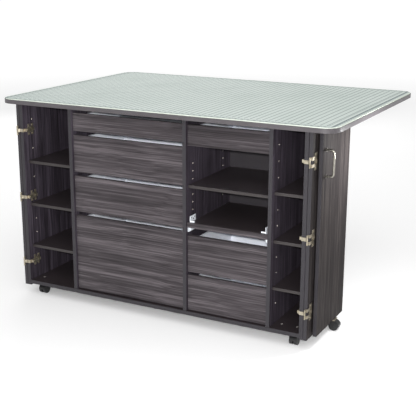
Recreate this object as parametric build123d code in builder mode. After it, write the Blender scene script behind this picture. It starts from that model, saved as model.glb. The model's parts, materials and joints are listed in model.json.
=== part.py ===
"""Sewing and cutting table on casters: a four-bay storage cabinet with drawers, a pull-out tray,
two folding door pairs, a drop leaf at the rear with two swing gates, and six twin-wheel casters.
Millimetres, +Z up, +Y towards the rear; origin on the floor below the middle of the table top.
The doors are folded open against the sides, the drawers and the tray are closed, the leaf is up.
Dimensions are counted from the middle of the cabinet and the front edges of its panels, and
every finished piece is moved onto the origin as it is written."""
from build123d import *
import os
from math import cos, radians, sin

os.makedirs("parts", exist_ok=True)

# ---- driving dimensions -------------------------------------------------------------------------
BOARD, DOOR_T = 16.0, 14.0        # cabinet boards, door leaves
CAB_W, CAB_D = 1326.0, 405.0      # cabinet across the side panels, front edge to rear edge
PANEL_Z0, CAB_TOP = 47.0, 869.0   # bottom of side panels and doors, underside of the table top
BASE_Z0 = 54.0                    # underside of the base panel
BACK_T = 6.0
TOP_W, TOP_D, TOP_T = 1524.0, 1046.0, 18.0
TOP_FRONT, TOP_X = -28.0, 12.0    # front edge of the table top, its middle against the cabinet's
TOP_R = 65.0                      # plan corner radius
SEAM_Y, SEAM_GAP = 431.0, 0.5     # joint between fixed top and drop leaf
MAT_T, MAT_INSET = 3.0, 2.0
DIVIDER_X = (-403.0, 142.0, 513.0)
SHELF_T, SHELF_PITCH = 12.0, 32.0
PIN_R, PIN_DEPTH = 2.5, 8.0
SIDE_SHELF_Z = (220.0, 412.0, 604.0)      # undersides of the narrow-bay shelves
MID_SHELF_Z = 589.0
FRONT_SETBACK = 12.0              # drawer fronts behind the panel edges
WIDE_FRONTS = ((75.0, 406.0), (423.0, 579.0), (597.0, 754.0), (773.0, 848.0))
MID_FRONTS = ((74.0, 226.0), (240.0, 394.0), (763.0, 847.0))
FRONT_SIDE_GAP = 2.0
BOX_T, BOX_D, SLIDE_GAP = 12.0, 355.0, 13.0
RIM_DROP = {"wide": 17.0, "mid": 23.0, "shallow": 14.0}   # drawer box rim below the front's top edge
RUNNER_H, RUNNER_L, RUNNER_T = 34.0, 350.0, 6.0
TRAY_Z, TRAY_T, TRAY_D, TRAY_RUNNER_Z, TRAY_FRONT = 440.0, 10.0, 350.0, 408.0, 14.0
APRON_T, APRON_DROP = 7.0, 12.0   # strip along the front edge of the tray
LEAF_1_W, LEAF_2_W = 354.0, 306.0
LEAF_Z1, LEAF_2_Z0 = 864.0, 49.0
SIDE_GAP, FRONT_GAP = 2.0, 2.0    # open leaf to side panel, closed leaf to front edges
FOLD_GAP = 8.0                    # between the folded leaves
HINGE_Z = (157.0, 455.0, 752.0)   # heights of the wrap-round hinges
STRAP = 1.2                       # hinge strap thickness
CUP_Y, CUP_R, CUP_DEPTH = 33.0, 13.0, 11.0     # hinge cup behind the leaf's hinged edge
PIANO_Z0, PIANO_Z1, PIANO_R, PIANO_N = 118.0, 826.0, 3.0, 12
HANDLE_Z, HANDLE_C, HANDLE_R, HANDLE_OUT = 737.0, 101.6, 4.5, 36.0
HANDLE_FROM_EDGE = 35.0
WHEEL_R, WHEEL_W, WEB_T, TRAIL = 20.0, 12.5, 7.0, 14.0
STEM_R, STEM_L, AXLE_R, FIT = 3.5, 8.0, 4.0, 0.08
PLATE_W, PLATE_T = 38.0, 3.0
GATE_X, GATE_L, GATE_Z0, GATE_Z1 = 246.0, 380.0, 260.0, 866.0
GATE_MEMBER = 62.0
LEAF_HINGE_X = (-700.0, 0.0, 700.0)

# ---- derived ------------------------------------------------------------------------------------
HALF = CAB_W / 2
INNER = HALF - BOARD
BASE_TOP = BASE_Z0 + BOARD
BACK_Y = CAB_D - BACK_T
TOP_REAR = TOP_FRONT + TOP_D
ORIGIN_Y = (TOP_FRONT + TOP_REAR) / 2                # middle of the table top
FACE_Y = FRONT_SETBACK + BOARD                       # rear faces of the drawer fronts
BAYS = {
    "left": (-INNER, DIVIDER_X[0] - BOARD / 2),
    "wide": (DIVIDER_X[0] + BOARD / 2, DIVIDER_X[1] - BOARD / 2),
    "mid": (DIVIDER_X[1] + BOARD / 2, DIVIDER_X[2] - BOARD / 2),
    "right": (DIVIDER_X[2] + BOARD / 2, INNER),
}
PIVOT_OFF = (SIDE_GAP + DOOR_T + FRONT_GAP) / 2       # door pivot, outwards of and ahead of the corner
LEAF_1_X = HALF + SIDE_GAP                           # inner-most face of the open first leaf
LEAF_2_X = LEAF_1_X + DOOR_T + FOLD_GAP
FOLD_X, FOLD_Y = LEAF_1_X + DOOR_T + FOLD_GAP / 2, LEAF_1_W + 0.75
LEAF_2_Y = LEAF_1_W - LEAF_2_W
HINGE_AXIS_Z = CAB_TOP - 4.0
PLATE_Z = PANEL_Z0 - PLATE_T
CASTERS = {                                          # mount x, y and the direction of the trail
    "front_left": (-HALF + 52.0, 64.0, -90.0),
    "front_right": (HALF - 52.0, 64.0, -90.0),
    "rear_left": (-HALF + 52.0, CAB_D - 60.0, -90.0),
    "rear_right": (HALF - 52.0, CAB_D - 60.0, -90.0),
    "left_door": (-FOLD_X - 4.0, 262.0, 180.0),
    "right_door": (FOLD_X + 4.0, 262.0, 0.0),
}


def block(x0, x1, y0, y1, z0, z1, mode=Mode.ADD):
    """Box between two corners, added to the current part."""
    with Locations(((x0 + x1) / 2, (y0 + y1) / 2, (z0 + z1) / 2)):
        Box(abs(x1 - x0), abs(y1 - y0), abs(z1 - z0), mode=mode)


def upright(x, y, z0, z1, radius, mode=Mode.ADD):
    """Vertical cylinder from z0 to z1."""
    with Locations((x, y, (z0 + z1) / 2)):
        Cylinder(radius, z1 - z0, mode=mode)


def along_x(x0, x1, y, z, radius, mode=Mode.ADD):
    """Cylinder along X."""
    with Locations(Location(((x0 + x1) / 2, y, z), (0, 90, 0))):
        Cylinder(radius, x1 - x0, mode=mode)


def save(builder, label):
    """Move one finished piece onto the origin, label it and write it."""
    builder.part = Pos(-TOP_X, -ORIGIN_Y, 0) * builder.part
    builder.part.label = label
    export_step(builder.part, f"parts/{label}.step")


def pin_rows(z_lo, z_hi, step):
    """Heights of the shelf-pin holes between two levels."""
    return [z_lo + step * i for i in range(int((z_hi - z_lo) // step) + 1)]


def drill_pins(x, side, rows, columns=(60.0, 330.0)):
    """Blind shelf-pin holes into the face at x; side is the direction the face looks."""
    for y in columns:
        for z in rows:
            along_x(min(x, x - side * PIN_DEPTH), max(x, x - side * PIN_DEPTH), y, z,
                    PIN_R, Mode.SUBTRACT)


# ---- cabinet ------------------------------------------------------------------------------------
NARROW_ROWS = pin_rows(SIDE_SHELF_Z[0] - PIN_R - 64.0, 800.0, 2 * SHELF_PITCH)
MID_ROWS = pin_rows(MID_SHELF_Z - PIN_R - 3 * SHELF_PITCH, 700.0, SHELF_PITCH)

with BuildPart() as base_panel:
    block(-INNER, INNER, 0, BACK_Y, BASE_Z0, BASE_TOP)
save(base_panel, "base_panel")

for side, name in ((-1, "left_side_panel"), (1, "right_side_panel")):
    with BuildPart() as panel:
        block(side * INNER, side * HALF, 0, CAB_D, PANEL_Z0, CAB_TOP)
        drill_pins(side * INNER, -side, NARROW_ROWS)
    save(panel, name)

for x, name, left_rows, right_rows in (
        (DIVIDER_X[0], "left_divider", NARROW_ROWS, ()),
        (DIVIDER_X[1], "middle_divider", (), MID_ROWS),
        (DIVIDER_X[2], "right_divider", MID_ROWS, NARROW_ROWS)):
    with BuildPart() as divider:
        block(x - BOARD / 2, x + BOARD / 2, 2, BACK_Y, BASE_TOP, CAB_TOP)
        drill_pins(x - BOARD / 2, -1, left_rows)
        drill_pins(x + BOARD / 2, 1, [z for z in right_rows if z not in left_rows])
    save(divider, name)

with BuildPart() as stretchers:
    for x0, x1 in BAYS.values():
        block(x0, x1, BACK_Y - 62, BACK_Y, CAB_TOP - BOARD, CAB_TOP)
save(stretchers, "stretchers")

with BuildPart() as back_panel:
    block(-INNER, INNER, BACK_Y, CAB_D, BASE_Z0, CAB_TOP)
save(back_panel, "back_panel")

with BuildPart() as shelves:
    for bay, levels, y0 in (("left", SIDE_SHELF_Z, 26), ("right", SIDE_SHELF_Z, 26),
                            ("mid", (MID_SHELF_Z,), 20)):
        for z in levels:
            block(BAYS[bay][0] + 0.5, BAYS[bay][1] - 0.5, y0, BACK_Y - 1, z, z + SHELF_T)
save(shelves, "shelves")

with BuildPart() as shelf_pins:
    for bay, levels in (("left", SIDE_SHELF_Z), ("right", SIDE_SHELF_Z), ("mid", (MID_SHELF_Z,))):
        for z in levels:
            for y in (60.0, 330.0):
                for x, side in ((BAYS[bay][0], 1), (BAYS[bay][1], -1)):
                    ends = sorted((x - side * (PIN_DEPTH - 0.5), x + side * 7.0))
                    along_x(*ends, y, z - PIN_R, PIN_R - 0.05)
save(shelf_pins, "shelf_pins")

# ---- drawers, tray and their runners ------------------------------------------------------------
DRAWERS = [("wide", i + 1, z0, z1) for i, (z0, z1) in enumerate(reversed(WIDE_FRONTS))]
DRAWERS += [("mid", i + 1, z0, z1) for i, (z0, z1) in enumerate(reversed(MID_FRONTS))]


def runner_level(z0, z1):
    """Bottom of the runner pair of a drawer whose front spans z0 to z1."""
    return z0 + min(26.0, (z1 - z0 - RUNNER_H) / 2)


with BuildPart() as fixed_runners:
    levels = [(bay, runner_level(z0, z1)) for bay, _, z0, z1 in DRAWERS] + [("mid", TRAY_RUNNER_Z)]
    for bay, z in levels:
        for x, side in ((BAYS[bay][0], 1), (BAYS[bay][1], -1)):
            y0 = FACE_Y + 2 if z != TRAY_RUNNER_Z else 16.0
            block(x, x + side * 1.5, y0, y0 + RUNNER_L, z, z + RUNNER_H)
            for zz in (z, z + RUNNER_H - 1.5):
                block(x, x + side * RUNNER_T, y0, y0 + RUNNER_L, zz, zz + 1.5)
save(fixed_runners, "fixed_runners")

for bay, number, z0, z1 in DRAWERS:
    x0, x1 = BAYS[bay]
    with BuildPart() as front:
        block(x0 + FRONT_SIDE_GAP, x1 - FRONT_SIDE_GAP, FRONT_SETBACK, FACE_Y, z0, z1)
    save(front, f"{bay}_drawer_{number}_front")
    a, b, low = x0 + SLIDE_GAP, x1 - SLIDE_GAP, z0 + 8.0
    high = z1 - RIM_DROP["shallow" if z1 - z0 < 100 else bay]
    rail_z = runner_level(z0, z1) + 5.0
    with BuildPart() as box:
        block(a, b, FACE_Y, FACE_Y + BOX_D, low, high)
        block(a + BOX_T, b - BOX_T, FACE_Y, FACE_Y + BOX_D - BOX_T, low + 6, high + 1, Mode.SUBTRACT)
        for x, side in ((a, -1), (b, 1)):
            block(x, x + side * 9.0, FACE_Y + 2, FACE_Y + RUNNER_L, rail_z, rail_z + RUNNER_H - 10)
    save(box, f"{bay}_drawer_{number}_box")

TRAY_X0, TRAY_X1 = BAYS["mid"][0] + SLIDE_GAP, BAYS["mid"][1] - SLIDE_GAP
with BuildPart() as tray:
    block(TRAY_X0, TRAY_X1, TRAY_FRONT, TRAY_FRONT + TRAY_D, TRAY_Z, TRAY_Z + TRAY_T)
    block(BAYS["mid"][0] + FRONT_SIDE_GAP, BAYS["mid"][1] - FRONT_SIDE_GAP, TRAY_FRONT - APRON_T, TRAY_FRONT,
          TRAY_Z - APRON_DROP, TRAY_Z + TRAY_T - 1)
save(tray, "tray")

with BuildPart() as tray_slides:
    for x, side in ((TRAY_X0, -1), (TRAY_X1, 1)):
        block(x, x + side * 9.0, TRAY_FRONT + 4, TRAY_FRONT + TRAY_D, TRAY_Z - 27, TRAY_Z - 3)
        block(x, x - side * 26.0, TRAY_FRONT + 4, TRAY_FRONT + TRAY_D, TRAY_Z - 1.5, TRAY_Z)
        block(x, x + side * 2.0, TRAY_FRONT + 4, TRAY_FRONT + TRAY_D, TRAY_Z - 4, TRAY_Z)
        block(x, x + side * 2.0, TRAY_FRONT, 60, TRAY_Z - 4, TRAY_Z + 34)
        block(x + side * 2, x - side * 18.0, TRAY_FRONT, TRAY_FRONT + 3, TRAY_Z + TRAY_T, TRAY_Z + TRAY_T + 6)
save(tray_slides, "tray_slides")

# ---- doors, folded open -------------------------------------------------------------------------
PIVOT_X = HALF + PIVOT_OFF
LEG_END = 0.6                     # the strap's diagonal leg ends just off the panel corner
LEG_MID, LEG_L = (PIVOT_OFF + LEG_END) / 2, (PIVOT_OFF - LEG_END) * 2 ** 0.5

with BuildPart() as door_hinge_plates:
    for s in (-1, 1):
        for z in HINGE_Z:
            upright(s * PIVOT_X, -PIVOT_OFF, z - 7, z + 7, 3.0)
            with Locations(Location((s * (HALF + LEG_MID), -LEG_MID, z), (0, 0, s * -45))):
                Box(LEG_L, STRAP, 14)
            block(s * (HALF + LEG_END), s * (INNER - 2), -STRAP, 0, z - 7, z + 7)
            block(s * INNER, s * (INNER - 2), -STRAP, 70, z - 7, z + 7)
            for y0, y1, half in ((30, 42, 24), (42, 54, 13), (54, 66, 24)):
                block(s * INNER, s * (INNER - 2.5), y0, y1, z - half, z + half)
            block(s * (INNER - 2), s * (INNER - 12), 8, 62, z - 6, z + 6)
            upright(s * PIVOT_X, -PIVOT_OFF, z - 7, z + 7, 1.5, Mode.SUBTRACT)
save(door_hinge_plates, "door_hinge_plates")

for s, side in ((-1, "left"), (1, "right")):
    with BuildPart() as leaf_1:
        block(s * LEAF_1_X, s * (LEAF_1_X + DOOR_T), 0, LEAF_1_W, PANEL_Z0, LEAF_Z1)
        for z in HINGE_Z:
            along = sorted((s * (LEAF_1_X + DOOR_T - CUP_DEPTH), s * (LEAF_1_X + DOOR_T)))
            along_x(*along, CUP_Y, z, CUP_R, Mode.SUBTRACT)
    save(leaf_1, f"{side}_door_leaf_1")

    with BuildPart() as leaf_2:
        block(s * LEAF_2_X, s * (LEAF_2_X + DOOR_T), LEAF_2_Y, LEAF_1_W, LEAF_2_Z0, LEAF_Z1)
    save(leaf_2, f"{side}_door_leaf_2")

    face = LEAF_1_X + DOOR_T
    knuckle = (PIANO_Z1 - PIANO_Z0) / PIANO_N
    with BuildPart() as hardware:
        for z in HINGE_Z:
            for dz in (-13.5, 13.5):
                upright(s * PIVOT_X, -PIVOT_OFF, z + dz - 6, z + dz + 6, 3.0)
                block(s * (PIVOT_X - STRAP / 2), s * (PIVOT_X + STRAP / 2), -PIVOT_OFF, 0,
                      z + dz - 6, z + dz + 6)
                block(s * (PIVOT_X - STRAP / 2), s * (face + STRAP), -STRAP, 0, z + dz - 6, z + dz + 6)
                block(s * face, s * (face + STRAP), -STRAP, CUP_Y, z + dz - 6, z + dz + 6)
            upright(s * PIVOT_X, -PIVOT_OFF, z - 20, z + 20, 1.42)
            block(s * face, s * (face + STRAP), CUP_Y - 12, CUP_Y + 12, z - 33, z + 33)
            ends = sorted((s * (face - CUP_DEPTH + 0.1), s * (face + STRAP)))
            along_x(*ends, CUP_Y, z, CUP_R - 0.05)
            ends = sorted((s * (face - CUP_DEPTH + 1.5), s * (face + STRAP + 1)))
            along_x(*ends, CUP_Y, z, CUP_R - 1.5, Mode.SUBTRACT)
        block(s * face, s * (face + STRAP), FOLD_Y - 25, FOLD_Y - 4.2, PIANO_Z0, PIANO_Z1)
        for i in range(0, PIANO_N, 2):
            z0, z1 = PIANO_Z0 + i * knuckle + 0.25, PIANO_Z0 + (i + 1) * knuckle - 0.25
            upright(s * FOLD_X, FOLD_Y, z0, z1, PIANO_R)
            block(s * face, s * (face + 1.8), FOLD_Y - 4.3, FOLD_Y, z0, z1)
        upright(s * FOLD_X, FOLD_Y, PIANO_Z0, PIANO_Z1, 1.5)
        x, y, _ = CASTERS[f"{side}_door"]
        block(x - PLATE_W / 2, x + PLATE_W / 2, y - PLATE_W / 2, y + PLATE_W / 2, PLATE_Z, PANEL_Z0)
        block(s * face, s * (face + STRAP), y - PLATE_W / 2, y + PLATE_W / 2, PLATE_Z, PANEL_Z0 + 34)
        upright(x, y, PLATE_Z - STEM_L, PLATE_Z, STEM_R)
    save(hardware, f"{side}_door_hardware")

    with BuildPart() as piano_half:
        block(s * (LEAF_2_X - STRAP), s * LEAF_2_X, FOLD_Y - 25, FOLD_Y - 4.2, PIANO_Z0, PIANO_Z1)
        for i in range(1, PIANO_N, 2):
            z0, z1 = PIANO_Z0 + i * knuckle + 0.25, PIANO_Z0 + (i + 1) * knuckle - 0.25
            upright(s * FOLD_X, FOLD_Y, z0, z1, PIANO_R)
            block(s * (LEAF_2_X - 1.8), s * LEAF_2_X, FOLD_Y - 4.3, FOLD_Y, z0, z1)
            upright(s * FOLD_X, FOLD_Y, z0, z1, 1.5 + FIT, Mode.SUBTRACT)
    save(piano_half, f"{side}_fold_hinge_half")

    grip_y, outer = LEAF_2_Y + HANDLE_FROM_EDGE, LEAF_2_X + DOOR_T
    with BuildPart() as handle:
        with BuildLine() as grip_line:
            Polyline(*[(s * (outer + dx), grip_y, HANDLE_Z + dz) for dx, dz in (
                (0, -HANDLE_C / 2), (HANDLE_OUT - HANDLE_R, -HANDLE_C / 2),
                (HANDLE_OUT - HANDLE_R, HANDLE_C / 2), (0, HANDLE_C / 2))])
            fillet(grip_line.vertices().filter_by(lambda v: abs(abs(v.X) - outer) > 1), 12)
        with BuildSketch(Plane(origin=(s * outer, grip_y, HANDLE_Z - HANDLE_C / 2),
                               z_dir=(s, 0, 0))):
            Circle(HANDLE_R)
        sweep()
        for dz in (-HANDLE_C / 2, HANDLE_C / 2):
            ends = sorted((s * outer, s * (outer + 3)))
            along_x(*ends, grip_y, HANDLE_Z + dz, HANDLE_R + 2)
    save(handle, f"{side}_handle")

# ---- casters ------------------------------------------------------------------------------------
with BuildPart() as caster_plates:
    for name, (x, y, _) in CASTERS.items():
        if "door" in name:
            continue
        block(x - PLATE_W / 2, x + PLATE_W / 2, y - PLATE_W / 2, y + PLATE_W / 2, PLATE_Z, BASE_Z0)
        upright(x, y, PLATE_Z - STEM_L, PLATE_Z, STEM_R)
save(caster_plates, "caster_plates")

for name, (x, y, heading) in CASTERS.items():
    ax, ay = x + TRAIL * cos(radians(heading)), y + TRAIL * sin(radians(heading))
    roll = Plane(origin=(ax, ay, WHEEL_R), x_dir=(cos(radians(heading)), sin(radians(heading)), 0),
                 z_dir=(sin(radians(heading)), -cos(radians(heading)), 0))
    half_w = WEB_T / 2 + 0.5 + WHEEL_W
    with BuildPart() as housing:
        with BuildSketch(roll):
            Circle(WHEEL_R + 2.4)
            Rectangle(60, 30, align=(Align.CENTER, Align.MAX), mode=Mode.SUBTRACT)
        extrude(amount=half_w - 1, both=True)
        upright(x, y, 24, PLATE_Z - 0.5, 8.5)
        with BuildSketch(roll):
            Circle(WHEEL_R + 0.8)
        extrude(amount=half_w + 1, both=True, mode=Mode.SUBTRACT)
        with BuildSketch(roll):
            Circle(WHEEL_R + 1.5)
            Rectangle(60, 30, align=(Align.CENTER, Align.MAX), mode=Mode.SUBTRACT)
            Circle(AXLE_R + 5)
        extrude(amount=WEB_T / 2, both=True)
        upright(x, y, PLATE_Z - STEM_L - 1, PLATE_Z + 1, STEM_R + FIT, Mode.SUBTRACT)
        with BuildSketch(roll):
            Circle(AXLE_R + FIT)
        extrude(amount=half_w + 1, both=True, mode=Mode.SUBTRACT)
    save(housing, f"{name}_caster_housing")

    with BuildPart() as wheels:
        with BuildSketch(roll):
            Circle(AXLE_R)
        extrude(amount=half_w, both=True)
        for direction in (-1, 1):
            with BuildSketch(roll.offset(direction * (WEB_T / 2 + 0.5))):
                Circle(WHEEL_R)
            extrude(amount=direction * WHEEL_W)
    save(wheels, f"{name}_caster_wheels")

# ---- table top, drop leaf and gates -------------------------------------------------------------


def top_outline(y0, y1, z, inset, rounded_front):
    """Outline from y0 to y1 at height z with its two outer plan corners rounded."""
    with BuildSketch(Plane.XY.offset(z)) as plan:
        with Locations((TOP_X, (y0 + y1) / 2)):
            Rectangle(TOP_W - 2 * inset, y1 - y0)
        rim = plan.vertices().sort_by(Axis.Y)
        fillet(rim[:2] if rounded_front else rim[-2:], TOP_R - inset)
    return plan.sketch


MAT_Z = CAB_TOP + TOP_T
with BuildPart() as fixed_top:
    extrude(top_outline(TOP_FRONT, SEAM_Y - SEAM_GAP / 2, CAB_TOP, 0, True), amount=TOP_T)
save(fixed_top, "fixed_top")
with BuildPart() as front_mat:
    extrude(top_outline(TOP_FRONT + MAT_INSET, SEAM_Y - SEAM_GAP / 2, MAT_Z, MAT_INSET, True),
            amount=MAT_T)
save(front_mat, "front_mat")
with BuildPart() as drop_leaf:
    extrude(top_outline(SEAM_Y + SEAM_GAP / 2, TOP_REAR, CAB_TOP, 0, False), amount=TOP_T)
save(drop_leaf, "drop_leaf")
with BuildPart() as rear_mat:
    extrude(top_outline(SEAM_Y + SEAM_GAP / 2, TOP_REAR - MAT_INSET, MAT_Z, MAT_INSET, False),
            amount=MAT_T)
save(rear_mat, "rear_mat")

with BuildPart() as leaf_hinges_fixed:
    for x in LEAF_HINGE_X:
        block(x - 30, x + 30, SEAM_Y - 24, SEAM_Y - 4.3, CAB_TOP - 1.8, CAB_TOP)
        for a, b in ((x - 30, x - 10.2), (x + 10.2, x + 30)):
            along_x(a, b, SEAM_Y, HINGE_AXIS_Z, 3.2)
            block(a, b, SEAM_Y - 4.4, SEAM_Y - 0.3, CAB_TOP - 1.8, CAB_TOP)
        along_x(x - 30, x + 30, SEAM_Y, HINGE_AXIS_Z, 1.6)
save(leaf_hinges_fixed, "leaf_hinges_fixed")

with BuildPart() as leaf_hinges_moving:
    for x in LEAF_HINGE_X:
        block(x - 30, x + 30, SEAM_Y + 4.3, SEAM_Y + 24, CAB_TOP - 1.8, CAB_TOP)
        along_x(x - 9.8, x + 9.8, SEAM_Y, HINGE_AXIS_Z, 3.2)
        block(x - 9.8, x + 9.8, SEAM_Y + 0.3, SEAM_Y + 4.4, CAB_TOP - 1.8, CAB_TOP)
        along_x(x - 9.8, x + 9.8, SEAM_Y, HINGE_AXIS_Z, 1.6 + FIT, Mode.SUBTRACT)
save(leaf_hinges_moving, "leaf_hinges_moving")

GATE_Y = CAB_D + 4.0
GATE_HINGE_Z = (GATE_Z0 + 70, GATE_Z1 - 70)
with BuildPart() as gate_hinges:
    for s in (-1, 1):
        for z in GATE_HINGE_Z:
            block(s * (GATE_X - 34), s * (GATE_X - 4), CAB_D, CAB_D + 1.5, z - 30, z + 30)
            for z0, z1 in ((z - 30, z - 10.2), (z + 10.2, z + 30)):
                upright(s * GATE_X, GATE_Y, z0, z1, 3.0)
                block(s * (GATE_X - 5), s * GATE_X, CAB_D, CAB_D + 1.5, z0, z1)
            upright(s * GATE_X, GATE_Y, z - 30, z + 30, 1.6)
save(gate_hinges, "gate_hinges")

for s, side in ((-1, "left"), (1, "right")):
    x0, x1 = GATE_X + 4, GATE_X + 4 + GATE_L
    with BuildPart() as gate:
        block(s * x0, s * x1, GATE_Y + 1, GATE_Y + 1 + BOARD, GATE_Z0, GATE_Z1)
        block(s * (x0 + GATE_MEMBER), s * (x1 - GATE_MEMBER), GATE_Y, GATE_Y + 2 + BOARD,
              GATE_Z0 + GATE_MEMBER, GATE_Z1 - GATE_MEMBER, Mode.SUBTRACT)
        for z in GATE_HINGE_Z:
            upright(s * GATE_X, GATE_Y, z - 9.8, z + 9.8, 3.0)
            block(s * GATE_X, s * (x0 + 24), GATE_Y - 0.5, GATE_Y + 1, z - 9.8, z + 9.8)
            upright(s * GATE_X, GATE_Y, z - 9.8, z + 9.8, 1.6 + FIT, Mode.SUBTRACT)
    save(gate, f"{side}_gate")
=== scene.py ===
"""Looks of the sewing and cutting table: laminate, printed mat, plated hardware and casters."""
import json  # noqa: E402
import logging  # noqa: E402
import math  # noqa: E402
from dataclasses import dataclass, field  # noqa: E402
from enum import Enum  # noqa: E402
from typing import Any, Iterable, Sequence, Union  # noqa: E402

import bpy  # noqa: E402
from mathutils import Euler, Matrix, Vector  # noqa: E402

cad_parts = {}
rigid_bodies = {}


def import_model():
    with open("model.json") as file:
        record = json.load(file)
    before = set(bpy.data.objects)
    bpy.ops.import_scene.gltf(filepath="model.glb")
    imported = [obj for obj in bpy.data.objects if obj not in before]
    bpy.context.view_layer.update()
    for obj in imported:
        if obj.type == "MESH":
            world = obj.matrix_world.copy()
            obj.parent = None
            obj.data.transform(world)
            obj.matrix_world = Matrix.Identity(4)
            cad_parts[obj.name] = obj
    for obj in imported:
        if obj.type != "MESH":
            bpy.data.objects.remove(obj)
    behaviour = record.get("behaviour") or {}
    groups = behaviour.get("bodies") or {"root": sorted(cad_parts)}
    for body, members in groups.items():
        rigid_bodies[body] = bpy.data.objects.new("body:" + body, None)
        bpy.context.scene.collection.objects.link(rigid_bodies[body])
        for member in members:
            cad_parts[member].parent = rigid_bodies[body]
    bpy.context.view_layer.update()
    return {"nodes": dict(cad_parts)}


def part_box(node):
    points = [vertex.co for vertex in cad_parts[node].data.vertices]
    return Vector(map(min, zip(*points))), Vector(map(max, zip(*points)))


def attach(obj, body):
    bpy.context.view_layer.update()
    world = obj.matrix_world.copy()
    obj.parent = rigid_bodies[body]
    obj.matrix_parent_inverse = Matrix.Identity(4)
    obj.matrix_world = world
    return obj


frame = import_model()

log = logging.getLogger("sewing_table")

Colour = tuple[float, float, float, float]
Point = tuple[float, float, float]
INCH = 0.0254
SQUARE_ON = 0.9


def tint(code: str) -> Colour:
    """Turn a hexadecimal screen colour into scene-linear values.

    Args:
        code: Six hexadecimal digits.

    Returns:
        Red, green, blue and full alpha.
    """
    channels = [int(code[i:i + 2], 16) / 255 for i in (0, 2, 4)]
    linear = [c / 12.92 if c <= 0.04045 else ((c + 0.055) / 1.055) ** 2.4 for c in channels]
    return (linear[0], linear[1], linear[2], 1.0)


# ---- shader building ----------------------------------------------------------------------------


@dataclass(frozen=True)
class Num:
    """A number on a shader socket; arithmetic on it adds Math nodes."""

    tree: bpy.types.NodeTree
    socket: bpy.types.NodeSocket

    def _math(self, operation: str, *values: Union["Num", float]) -> "Num":
        """Add one Math node.

        Args:
            operation: Name of the operation.
            values: The node's inputs in order.

        Returns:
            The node's result.
        """
        node = self.tree.nodes.new("ShaderNodeMath")
        node.operation = operation
        for slot, value in zip(node.inputs, values):
            if isinstance(value, Num):
                self.tree.links.new(value.socket, slot)
            else:
                slot.default_value = value
        return Num(self.tree, node.outputs[0])

    def __add__(self, other: Union["Num", float]) -> "Num":
        """Sum."""
        return self._math("ADD", self, other)

    __radd__ = __add__

    def __sub__(self, other: Union["Num", float]) -> "Num":
        """Difference."""
        return self._math("SUBTRACT", self, other)

    def __rsub__(self, other: float) -> "Num":
        """Difference from a plain number."""
        return self._math("SUBTRACT", other, self)

    def __mul__(self, other: Union["Num", float]) -> "Num":
        """Product."""
        return self._math("MULTIPLY", self, other)

    __rmul__ = __mul__

    def __truediv__(self, other: Union["Num", float]) -> "Num":
        """Quotient."""
        return self._math("DIVIDE", self, other)

    def __abs__(self) -> "Num":
        """Size without sign."""
        return self._math("ABSOLUTE", self)

    def lowest(self, other: Union["Num", float]) -> "Num":
        """Smaller of the two."""
        return self._math("MINIMUM", self, other)

    def highest(self, other: Union["Num", float]) -> "Num":
        """Larger of the two."""
        return self._math("MAXIMUM", self, other)

    def unit(self) -> "Num":
        """Held between 0 and 1."""
        return self.highest(0.0).lowest(1.0)

    def off_line(self, pitch: float) -> "Num":
        """Distance to the nearest multiple of a pitch."""
        turns = self / pitch + 0.5
        return abs(turns._math("FRACT", turns) - 0.5) * pitch


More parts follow.
